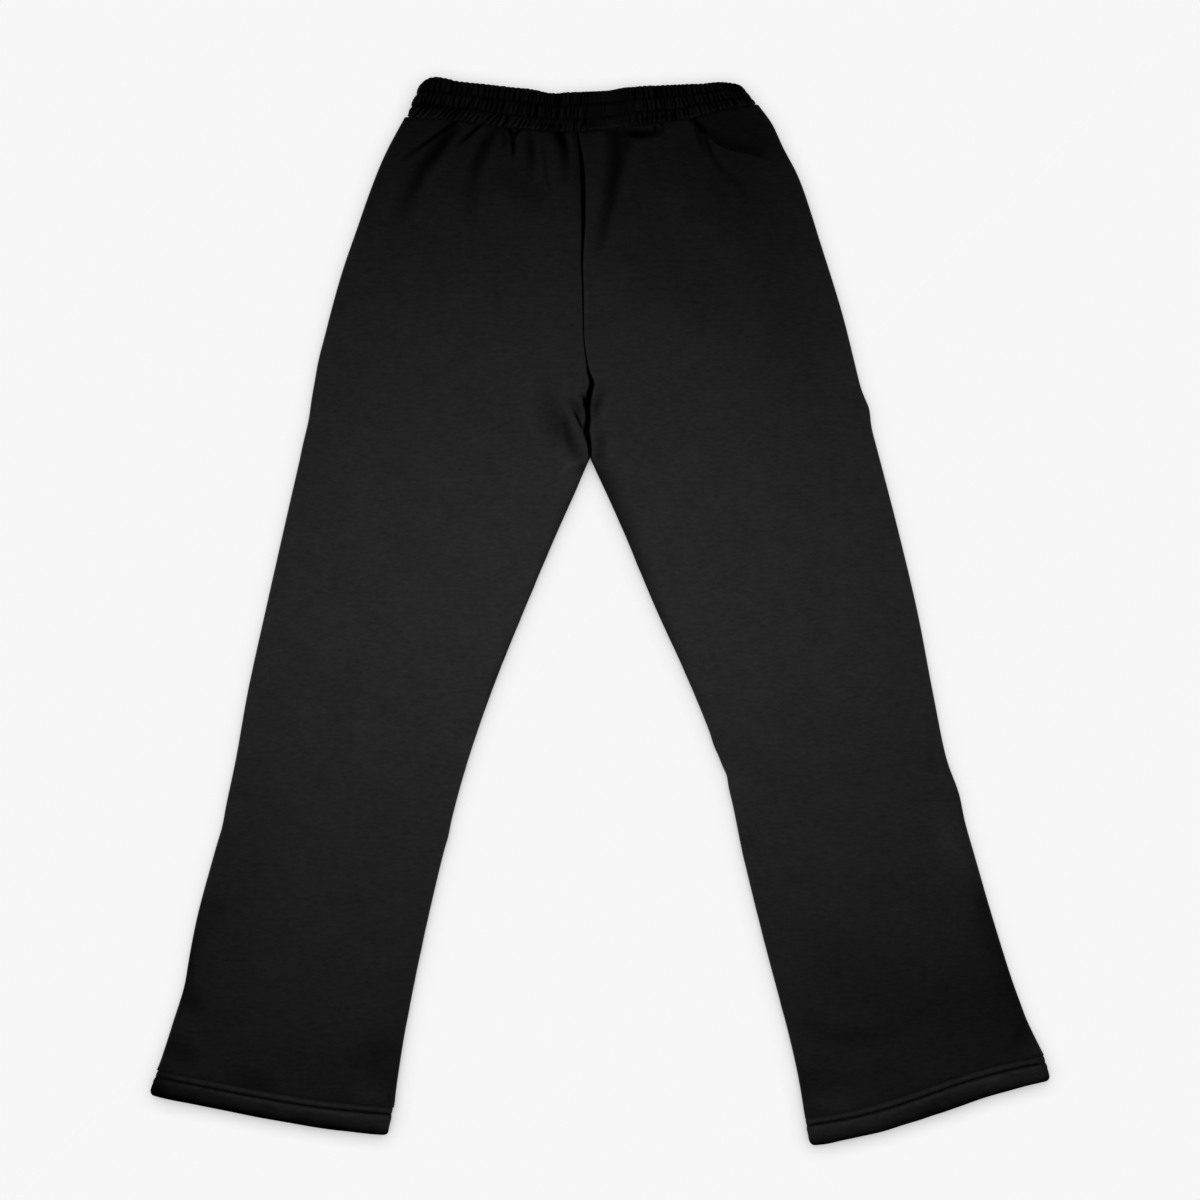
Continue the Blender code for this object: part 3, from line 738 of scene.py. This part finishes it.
    # the inner face follows only what is deep
    follow = np.minimum(relief + panel["spare"], 0)
    lining[..., 2] += upward * follow * ease(0.003, 0.008, inside) + lift
    if isBack:
        # and neither face goes through the front
        flat = inside > panel["turned"]
        clear, thin = panel["leastGaps"]
        lining[flat, 2] = np.maximum(lining[flat, 2], layer + clear)
        face[flat, 2] = np.maximum(face[flat, 2], lining[flat, 2] + thin)
    lining = lining[::2, ::2]
    points = np.concatenate([face.reshape(-1, 3), lining.reshape(-1, 3)])
    shades = np.concatenate([shade.ravel(), np.zeros(lining[..., 0].size)])
    return makeMesh(name, points, shellFaces(rowCount, face.shape[1], (side < 0) != isBack), finish, shades)


for side, leg in (("left", leftLeg), ("right", rightLeg)):
    for half, finish, slot in (("Back", fleece, "fleece"), ("Front", frontFleece, "fleece_inside")):
        piece = makePanel(side + half + "Panel", leg, half == "Back", finish)
        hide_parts(side + "_" + half.lower())
        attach(piece, "root")
    print(side, "panels made")


stitching = {
    "size": (0.0027, 0.0034, 0.00042),  # length, pitch and half the thickness
    "sides": 6,
    "rings": ((0, 0.15), (0.18, 0.8), (0.5, 1), (0.82, 0.8), (1, 0.15)),  # share of the length, and size
}


def makeStitches(name, runs, finish):
    # runs are (points, normals) lines; a stitch is a slim bead half sunk in the cloth
    length, pitch, thick = stitching["size"]
    turns = np.linspace(0, 2 * np.pi, stitching["sides"], endpoint=False)
    points = []
    faces = []
    for line, normals in runs:
        run = runOf(line)
        for start in np.arange(pitch / 2, run[-1] - length, pitch):
            first, last, up = [
                np.array([np.interp(at, run, column) for column in table.T])
                for at, table in ((start, line), (start + length, line), (start, normals))]
            along = last - first
            aside = np.cross(along, up)
            aside /= np.linalg.norm(aside)
            up = np.cross(aside, along)
            up /= np.linalg.norm(up)
            faces += ringFaces(len(stitching["rings"]), stitching["sides"], len(points))
            for share, size in stitching["rings"]:
                centre = first + along * share + up * thick * (0.9 * size - 0.4)
                for turn in turns:
                    points.append(centre + (aside * np.cos(turn) + up * np.sin(turn)) * size * thick)
    return makeMesh(name, np.array(points), faces, finish)


hem = {
    "stations": 130,
    "edgeFacets": 7,
    # mm below the panel's edge and mm deep: a groove, a ridge, a deeper groove, the puffed band
    "section": mm((0, 1.6), (0.3, 1.2), (0.8, 0.6), (1.4, 0.1), (2.1, -0.3), (2.9, -0.5), (3.8, -0.45),
                  (4.8, -0.15), (5.6, 0.35), (6.2, 1), (6.7, 1.6), (7, 1.8), (7.3, 1.6), (7.8, 0.8),
                  (8.4, 0), (9.2, -0.8), (10, -1.25), (12, -1.55), (14.5, -1.25), (17, -0.65), (19.5, 0.1)),
    "fixed": 0.010,  # below this the section stretches with the hem
    "fullDepth": 0.029,  # that the section is drawn for
    "foldReach": (0.0062, 0.0016),  # how far up the fold is rounded, outside and inside
    "foldFacets": 7,
    "foldWaves": (0.0004, 0.02, 21),
    "cornerRound": 0.032,  # by share of the width
    "outerLower": 0.0005,
    "sideFade": 0.012,
    # painted shade by mm below the panel's edge and by mm from the fold, and on the inner faces
    "shadeBelow": ((0, 0.42), (1.2, 0.18), (2.6, 0), (3.8, 0), (4.8, 0.12), (5.8, 0.42), (6.4, 0.74),
                   (7, 0.9), (7.6, 0.66), (8.3, 0.28), (9.2, 0.04), (10, 0)),
    "shadeAtFold": ((0, 1), (1.5, 0.98), (2.5, 0.92), (3.5, 0.84), (5, 0.7), (7, 0.55), (9, 0.44),
                    (12, 0.33), (15, 0.18), (18, 0)),
    "shadeInside": 0.3,
    # the band rises and sinks, with painted light where it rises, and pulls in at small tucks
    "waves": (1, 0.020, 31),
    "puff": 0.00045,
    "riseLight": 0.10,
    "tuckSeed": 41,
    "tuckSpacing": 0.055,
    "tuckDepth": (0.0001, 0.0005),
    "tuckSize": (0.0035, 0.006),
    "stitchRows": (0.0006, 0.0070),  # below the panel's edge
    "overlap": (0.655, 0.70),  # where the right leg's upper row starts and ends
    "overlapBelow": 0.0013,
}


def hemSection(depth):
    # distance down and depth into the cloth, section by station
    thick = cloth["turnedHem"]
    fixed = hem["fixed"]
    ends = fixed + hem["foldReach"][0]
    stretch = (depth - ends) / (hem["fullDepth"] - ends)
    section = [(min(at, fixed) + max(at - fixed, 0) * stretch, under) for at, under in hem["section"]]
    for angle in np.linspace(-np.pi / 2, np.pi / 2, hem["foldFacets"] + 2)[1:]:
        reach = hem["foldReach"][0 if angle < 0 else 1]
        rise = thick / 2 - (0.0001 if angle < 0 else 0)
        section.append((depth - reach + reach * np.cos(angle), thick / 2 + rise * np.sin(angle)))
    section += [(depth * share, thick) for share in (0.75, 0.5, 0.25, 0.05)]
    section.append((0 * depth + 0.0002, thick - 0.0010))
    down, into = zip(*section)
    return np.array(down), np.array(into)[:, None] + 0 * depth


def makeHem(name, leg, isBack, finish):
    gap, side = cloth["seamGap"], leg["side"]
    middle = cloth["hemHeight"] / 2
    upward = 1 if isBack else -1
    rows = leg["hem"].copy()
    rows[0, (1, 3)] -= gap / 2 + hem["outerLower"], gap / 2
    span = rows[1, 2:4] - rows[1, 0:2]
    width = np.hypot(*span)
    angles = np.linspace(0, np.pi / 2, hem["edgeFacets"] + 1)
    distance = middle * (1 - np.cos(angles))
    flat = np.linspace(middle, width - middle, hem["stations"])[1:-1]
    distance = np.concatenate([distance, flat, width - distance[::-1]])
    facing = np.concatenate([angles, np.full(flat.shape, np.pi / 2), np.pi - angles[::-1]])
    share = distance / width
    x, y = acrossRow(rows, share)
    z = middle + upward * np.maximum(middle * np.sin(facing), gap / 2)
    lift = hemLift(leg, share) * isBack
    first = np.stack([x[0], y[0], z + lift], axis=1)
    last = np.stack([x[1], y[1], z + lift * 1.15], axis=1)
    inward = np.array([*span, 0]) / width * np.cos(facing)[:, None]
    inward[:, 2] = -upward * np.sin(facing)
    depth = np.linalg.norm(last - first, axis=1)
    unit = (last - first) / depth[:, None]
    depth += softWaves(x[1], y[1] * 0, hem["foldWaves"], side) * np.sin(facing)
    depth += kinks(leg["foldKinks"], share)
    for fromEnd, cut in zip((share, 1 - share), leg["cornerCut"]):
        corner = np.clip(1 - fromEnd / hem["cornerRound"], 0, 1)
        depth -= cut * (1 - np.sqrt(1 - corner ** 2))
    down, into = hemSection(depth)
    onFace = (np.arange(len(down)) < len(hem["section"]) + hem["foldFacets"] - 2)[:, None]

    uneven = softWaves(x[0], down * 2.2, hem["waves"], side) * ease(0.007, 0.013, down)
    puff = hem["puff"] * uneven
    draw = np.random.default_rng(hem["tuckSeed"] + side)
    wide, tall = hem["tuckSize"]
    for centre in np.arange(0.03, 0.97, hem["tuckSpacing"]):
        centre = centre + draw.uniform(-0.02, 0.02)
        lean = draw.uniform(-0.4, 0.4)
        tuck = draw.uniform(*hem["tuckDepth"])
        across = (share - centre) * width - lean * (down - 0.006)
        puff -= tuck * near(across, wide) * near(down - 0.007, tall)
    into = into - puff * onFace
    plain = np.where(onFace, 0.0003, into)
    fromSide = np.minimum(distance, width - distance)
    into = plain + (into - plain) * (0.25 + 0.75 * ease(0, hem["sideFade"], fromSide))
    grid = first + unit * down[..., None] + inward * into[..., None]
    if not isBack:
        grid[..., 2] = np.maximum(grid[..., 2], 0)
    faces = ringFaces(len(distance), len(down))
    if (side < 0) != isBack:
        faces = [face[::-1] for face in faces]

    # painted shade in the grooves, by the fold and at the ends, less painted light where the band rises and
    # over a lighter hem
    below = readTable(hem["shadeBelow"], down * 1000)
    atFold = readTable(hem["shadeAtFold"], (depth - down) * 1000 * readTable(leg["hemFade"], share))
    shade = np.maximum(below, atFold + (1 - atFold) * readTable(leg["hemEndShade"], share))
    shade = shade - hem["riseLight"] * uneven - leg["hemPaintedLight"]
    shade = np.clip(np.where(onFace, shade, hem["shadeInside"]), -0.3, 1)
    piece = makeMesh(name, grid.transpose(1, 0, 2), faces, finish, shade.T)
    lines = [grid[np.abs(hem["section"][:, 0] - row).argmin()] for row in hem["stitchRows"]]
    runs = [(line, -inward) for line in lines]
    if isBack and side > 0:
        start, end = hem["overlap"]
        doubled = (share > start) & (share < end)
        runs.append(((lines[0] + unit * hem["overlapBelow"])[doubled], -inward[doubled]))
    return piece, runs


for side, leg in (("left", leftLeg), ("right", rightLeg)):
    for half in ("Back", "Front"):
        piece, runs = makeHem(side + "Hem" + half, leg, half == "Back", hemFleece)
        stitches = makeStitches(side + "Hem" + half + "Stitches", runs, hemThread)
        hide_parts(side + "_hem_" + half.lower())
        for part in (piece, stitches):
            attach(part, "root")
print("hems made")


band = {
    "stations": 940,
    "stitchRows": (0.30, 0.65),  # shares of the band's height from the seam up
    "channelPoints": 9,
    "channelPuff": 0.0021,
    "seamRoll": (0.0022, 0.0034),  # at the lower edge: how deep and how far up
    "topReach": 0.0036,  # where the face starts to bend over
    "topFacets": 7,
    "endFacets": 13,
    # by channel from the seam up: least spacing and how much more
    "ribSpacing": ((0.0037, 0.0019), (0.0034, 0.0022), (0.0038, 0.0022)),
    "ribCloser": ((-0.10, 1.1), (-0.06, 0.85), (-0.03, 0.85), (0.04, 0.92)),  # by x
    "ribDepth": (0.0011, 0.0028),
    "ribWidth": (0.0009, 0.0016),
    "ribSlant": ((0.62, 0.10), (0.10, 0.10), (0.0, 0.06)),  # middle and spread
    "slantAlong": ((-0.15, 1), (-0.03, 0.5), (0.15, -0.2)),
    "plainRibs": ((-0.020, 1), (-0.008, 0.35), (0.024, 0.30), (0.044, 1)),
    "plainStretch": (-0.012, 0.034),  # where the elastic pulls least
    # painted shade over that stretch
    "plainShade": 0.22,
    "deepestRib": 0.0029,
    "ribDark": (0.0020, 1.2),  # painted shade in the grooves: the depth where it is full, and how fast it comes
    "ribLight": (0.16, 0.0007),  # painted highlight between the ribs
    "channelShade": (0.10, 0.20, 0.22),  # painted shade by channel, darker towards the top
    "channelShadeWaves": (1, 0.013, 51),
    "rowShade": (  # painted shade along each row of stitches: x and tone, by row
        ((-0.18, 0.95), (-0.15, 0.85), (-0.12, 0.5), (-0.05, 0.45), (-0.02, 0.7), (0.14, 0.8)),
        ((-0.18, 0.5), (-0.08, 0.8), (-0.04, 0.95), (0.03, 0.95), (0.045, 0.5), (0.14, 0.5)),
    ),
    "rowShadeReach": 0.0019,
    "rowWaves": (0.30, 0.012, 52),
    # painted shade spots: x, share of the height, half width, half height as a share, tone
    "shadeSpots": ((-0.166, 0.29, 0.014, 0.09, 0.75), (-0.130, 0.33, 0.020, 0.09, 0.45),
              (-0.046, 0.08, 0.008, 0.12, 0.7), (0.050, 0.08, 0.016, 0.12, 0.5),
              (-0.075, 0.62, 0.030, 0.06, 0.4)),
    "seamLight": (0.30, 0.0009),  # painted highlight over the seam, how strong and how wide
    "seamLightAt": 0.0012,
    "seamWaves": (0.6, 0.020, 53),
    "centreDip": (0.0016, 0.0012),  # at the centre back seam
    "girth": 0.69,
    "leftPinch": (0.0016, 0.14),  # where the band turns on the left
    "leftPinchAt": 0.12,
    "topDrop": 0.0022,
    "scallop": 0.28,  # how far the ribs draw the top edge down
    "slack": ((0.0011, 0, np.pi / 2), (0.0009, 34, 1.2), (0.0004, 91, 0)),  # height, pitch and turn
    "endPuff": (0.85, 0.35),  # share left where the band turns, left and right
}


def bandStations():
    # round the band from the centre back seam: left, across the front, and home
    radius = cloth["bandHeight"] / 2
    gap = cloth["seamGap"]
    lowStart, lowEnd = waistSeam[[0, -1], 0]
    highStart, highEnd = waistTop[[0, -1], 0]
    width = (lowEnd - lowStart + highEnd - highStart) / 2
    join = (leftLeg["rows"][0][2] - lowStart) / (lowEnd - lowStart) * width
    step = 2 * width / band["stations"]
    quarter = np.linspace(np.pi / 2, 0, band["endFacets"] + 1)
    turn = radius * (1 - np.cos(quarter))
    parts = (
        (np.linspace(join - gap / 2, radius, int(join / step))[:-1], np.pi / 2, 1),
        (turn, quarter, 1),
        (turn[::-1], quarter[::-1], -1),
        (np.linspace(radius, width - radius, int(width / step))[1:-1], np.pi / 2, -1),
        (width - turn, np.pi - quarter, -1),
        (width - turn[::-1], np.pi - quarter[::-1], 1),
        (np.linspace(width - radius, join + gap / 2, int((width - join) / step))[1:], np.pi / 2, 1),
    )
    distance, facing, side = np.hstack([np.broadcast_arrays(*part) for part in parts])
    upward = side * np.sin(facing)
    keep = np.hypot(np.diff(distance, prepend=9), np.diff(upward, prepend=9) * radius) > 1e-6
    share, facing, side, upward = distance[keep] / width, facing[keep], side[keep], upward[keep]
    lowX = lowStart + (lowEnd - lowStart) * share
    highX = highStart + (highEnd - highStart) * share
    z = radius + radius * upward
    low = np.stack([lowX, edgeY(waistSeam, lowX) + gap / 2, z], axis=1)
    high = np.stack([highX, edgeY(waistTop, highX), z], axis=1)
    return low, high, np.stack([np.cos(facing), 0 * facing, -upward], axis=1), side


def channels():
    # shares of the height between rows of stitches
    rows = (0, *band["stitchRows"], 1)
    return list(zip(rows[:-1], rows[1:]))


def ribField(x, side, share, height):
    # depth of the grooves that the elastic draws up
    depth = np.zeros((len(share), len(x)))
    for channel, (low, high) in enumerate(channels()):
        inChannel = (share >= low) & (share <= high)
        across = ((share[inChannel] - low) / (high - low))[:, None]
        taper = 0.65 + 0.35 * np.sin(np.pi * np.clip(across, 0.02, 0.98)) ** 0.7
        least, more = band["ribSpacing"][channel]
        middle, spread = band["ribSlant"][channel]
        for face in (1, -1):
            draw = np.random.default_rng(100 + channel + 10 * face)
            here = side == face
            place = x.min() - 0.004
            while place < x.max() + 0.004:
                deep = draw.uniform(*band["ribDepth"])
                wide = draw.uniform(*band["ribWidth"])
                slant = draw.normal(middle * readTable(band["slantAlong"], place), spread)
                sway = draw.uniform(-0.0006, 0.0006)
                if face > 0:
                    deep *= readTable(band["plainRibs"], place)
                centre = place + slant * (across - 0.5) * (high - low) * height[here]
                centre = centre + sway * np.sin(np.pi * across)
                groove = np.exp(-np.abs((x[here] - centre) / wide) ** 1.9)
                lean = np.clip(1 + draw.uniform(-0.5, 0.5) * (across - 0.5), 0, 1.2)
                depth[np.ix_(inChannel, here)] += deep * groove * taper * lean
                closer = readTable(band["ribCloser"], place)
                place += closer * (least + more * draw.uniform(0, 1) ** 1.2)
    return np.minimum(depth, band["deepestRib"])


def bandShade(x, side, shares, height, ribs):
    # painted shade of the face in the grooves, by channel, over the plain stretch, along the stitch rows and
    # in spots, less a painted highlight between the ribs and over the seam
    share = shares[:, None]
    full, power = band["ribDark"]
    shade = np.clip(ribs / full, 0, 1) ** power - dip(band["ribLight"], ribs)
    channel = np.searchsorted(band["stitchRows"], shares, side="right")
    channelShade = np.clip(0.7 + softWaves(x, share * 0.03, band["channelShadeWaves"]), 0, 1.6)
    channelShade = np.array(band["channelShade"])[channel][:, None] * channelShade
    start, end = band["plainStretch"]
    plain = ease(start - 0.008, start, x) * (1 - ease(end - 0.006, end, x))
    shade += (channelShade + band["plainShade"] * plain) * (1 - shade)
    for row, tones in zip(band["stitchRows"], band["rowShade"]):
        tone = readTable(tones, x) * (0.80 + softWaves(x, x * 0, band["rowWaves"]))
        shade = darken(shade, tone * near((share - row) * height, band["rowShadeReach"]))
    for spotX, spotShare, wide, tall, dark in band["shadeSpots"]:
        spot = near(x - spotX, wide) * near(share - spotShare, tall)
        shade += (1 - shade) * dark * spot * (side > 0)
    atSeam = np.clip(0.7 + softWaves(x, x * 0, band["seamWaves"]), 0, 1)
    return shade - atSeam * dip(band["seamLight"], share * height - band["seamLightAt"])


def makeWaistband(finish):
    low, high, inward, side = bandStations()
    height = np.linalg.norm(high - low, axis=1)
    unit = (high - low) / height[:, None]
    x = (low[:, 0] + high[:, 0]) / 2
    thick = cloth["casing"]
    turned = np.abs(inward[:, 0])  # 1 where the band turns over
    puffLeft = np.where(x < 0, *band["endPuff"])

    # the face, from the seam up to the top edge
    points = band["channelPoints"]
    t = np.arange(points) / points
    shares = np.concatenate([start + (end - start) * t for start, end in channels()])
    channelPuff = band["channelPuff"] * (1 - np.sin(np.pi * t) ** 0.55)
    into = np.tile(channelPuff, len(channels()))[:, None] * (1 - (1 - puffLeft) * turned)
    down = shares[:, None] * height
    roll, reach = band["seamRoll"]
    into += roll * np.clip(1 - down / reach, 0, 1) ** 2
    into += turned * (x < 0) * dip(band["leftPinch"], shares[:, None] - band["leftPinchAt"])
    ribs = ribField(x, side, shares, height) * (1 - 0.6 * turned)
    into += ribs * (0.35 + 0.65 * ease(0, 0.002, height - down))
    # it bends over the top edge in an even round
    over = np.clip(1 - (height - down) / band["topReach"], 0, 1)
    into += (thick / 2 - into * 0.6) * (1 - np.sqrt(1 - over ** 2))
    # and dips at the centre back seam
    count = np.arange(len(height))
    into += dip(band["centreDip"], np.minimum(count, count[::-1]) * band["girth"] / len(height))
    shade = bandShade(x, side, shares, height, ribs)

    # the top edge and the inner face
    scallop = ribs[-3] * band["scallop"]
    inside = []
    for angle in np.linspace(0, np.pi / 2, band["topFacets"]):
        atTop = height - band["topDrop"] * (1 - np.cos(angle)) - scallop
        inside.append((atTop, thick / 2 * (1 + np.sin(angle)) + 0 * height))
    for share in (0.8, 0.6, 0.4, 0.2, 0.06):
        inside.append((height * share, thick - 0.35 * ribs[np.abs(shares - share).argmin()] + 0.0002))
    downInside, intoInside = zip(*inside)
    down = np.vstack([down - scallop * over, *downInside])
    into = np.vstack([into, *intoInside])
    grid = low + unit * down[..., None] + inward * into[..., None]
    # the back stands off the front in places, so that the waist gapes a little
    slack = sum(tall * np.sin(x * pitch + turn) for tall, pitch, turn in band["slack"])
    slack *= (side > 0) * inward[:, 2] ** 2
    grid[..., 2] += slack * ease(-0.2, 1, down / height)
    grid[..., 2] = np.maximum(grid[..., 2], 0)
    shade = np.vstack([np.clip(shade, -0.45, 1), np.zeros((len(inside), len(height)))])
    faces = ringFaces(grid.shape[1], grid.shape[0])
    piece = makeMesh("waistbandCasing", grid.transpose(1, 0, 2), faces, finish, shade.T)
    runs = [(grid[number * points][2:-2], -inward[2:-2]) for number in (1, 2)]
    return piece, runs


piece, runs = makeWaistband(bandFleece)
stitches = makeStitches("waistbandStitches", runs, bandThread)
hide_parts("waistband")
for part in (piece, stitches):
    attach(part, "root")
print("waistband made")


stage = {
    "floor": 0.93,  # seen by the camera
    "bounce": 0.75,  # and by everything else
    "shadowDistance": 0.020,
    "shadowStrength": 0.90,
    "shadowPower": 1.15,
    "shadowNormal": (0, 0.26, 0.97),
    "skyLow": 0.35,
    "skyHigh": 0.02,
    "skyTurns": (0.15, 0.5),  # heights between low and high
}
lamp = {"place": (-0.04, 0.26, 0.90), "size": (0.9, 0.16), "tilt": 20, "spread": 78, "power": 1.93}
view = {"height": 2.9, "across": 1.2, "middle": (0, 0.011)}

bpy.ops.mesh.primitive_plane_add(size=40, location=(0, 0, -0.0004))
floor = bpy.context.object
floor.name = "floor"
# evenly lit, with a soft contact shadow
material = bpy.data.materials.new("pale floor")
floor.data.materials.append(material)
finish = Finish(material)
rays = finish.add("ShaderNodeLightPath", output="Is Camera Ray")
seen = rays + rays.beside("Is Glossy Ray") + rays.beside("Is Transmission Ray")
leaning = finish.add("ShaderNodeCombineXYZ", None, dict(zip("XYZ", stage["shadowNormal"])))
unshaded = finish.add("ShaderNodeAmbientOcclusion", {"samples": 12},
                      {"Distance": stage["shadowDistance"], "Normal": leaning}, output="AO")
shadow = (1 - unshaded) ** stage["shadowPower"] * stage["shadowStrength"]
glow = finish.add("ShaderNodeEmission", None, {"Color": grey(1), "Strength": (1 - shadow) * stage["floor"]})
plain = finish.add("ShaderNodeBsdfDiffuse", None, {"Color": grey(stage["bounce"])})
finish.surface(seen, plain, glow)

data = bpy.data.lights.new("overhead", "AREA")
data.shape = "RECTANGLE"
data.size, data.size_y = lamp["size"]
data.spread = np.radians(lamp["spread"])
data.energy = lamp["power"]
light = bpy.data.objects.new("overhead", data)
light.location = lamp["place"]
light.rotation_euler.x = -np.radians(lamp["tilt"])
light.visible_camera = False
bpy.context.scene.collection.objects.link(light)

# a pale room, brighter low down
world = bpy.data.worlds.new("studio")
bpy.context.scene.world = world
finish = Finish(world)
place = finish.add("ShaderNodeTexCoord", output="Generated")
height = finish.add("ShaderNodeSeparateXYZ", None, {0: place}, output="Z")
low, high = stage["skyTurns"]
glow = finish.add("ShaderNodeMapRange", None, {
    "Value": height, "From Min": low, "From Max": high,
    "To Min": stage["skyLow"], "To Max": stage["skyHigh"]})
seen = finish.add("ShaderNodeLightPath", output="Is Camera Ray")
strength = finish.add("ShaderNodeMix", None, {0: seen, 2: glow, 3: stage["floor"]})
finish.set("Background", Color=grey(1), Strength=strength)

# straight above
data = bpy.data.cameras.new("camera")
data.lens = data.sensor_width * view["height"] / view["across"]
data.clip_end = 100
camera = bpy.data.objects.new("camera", data)
camera.location = (*view["middle"], view["height"])
bpy.context.scene.collection.objects.link(camera)
bpy.context.scene.camera = camera
bpy.context.scene.view_settings.view_transform = "Standard"
print("stage made")
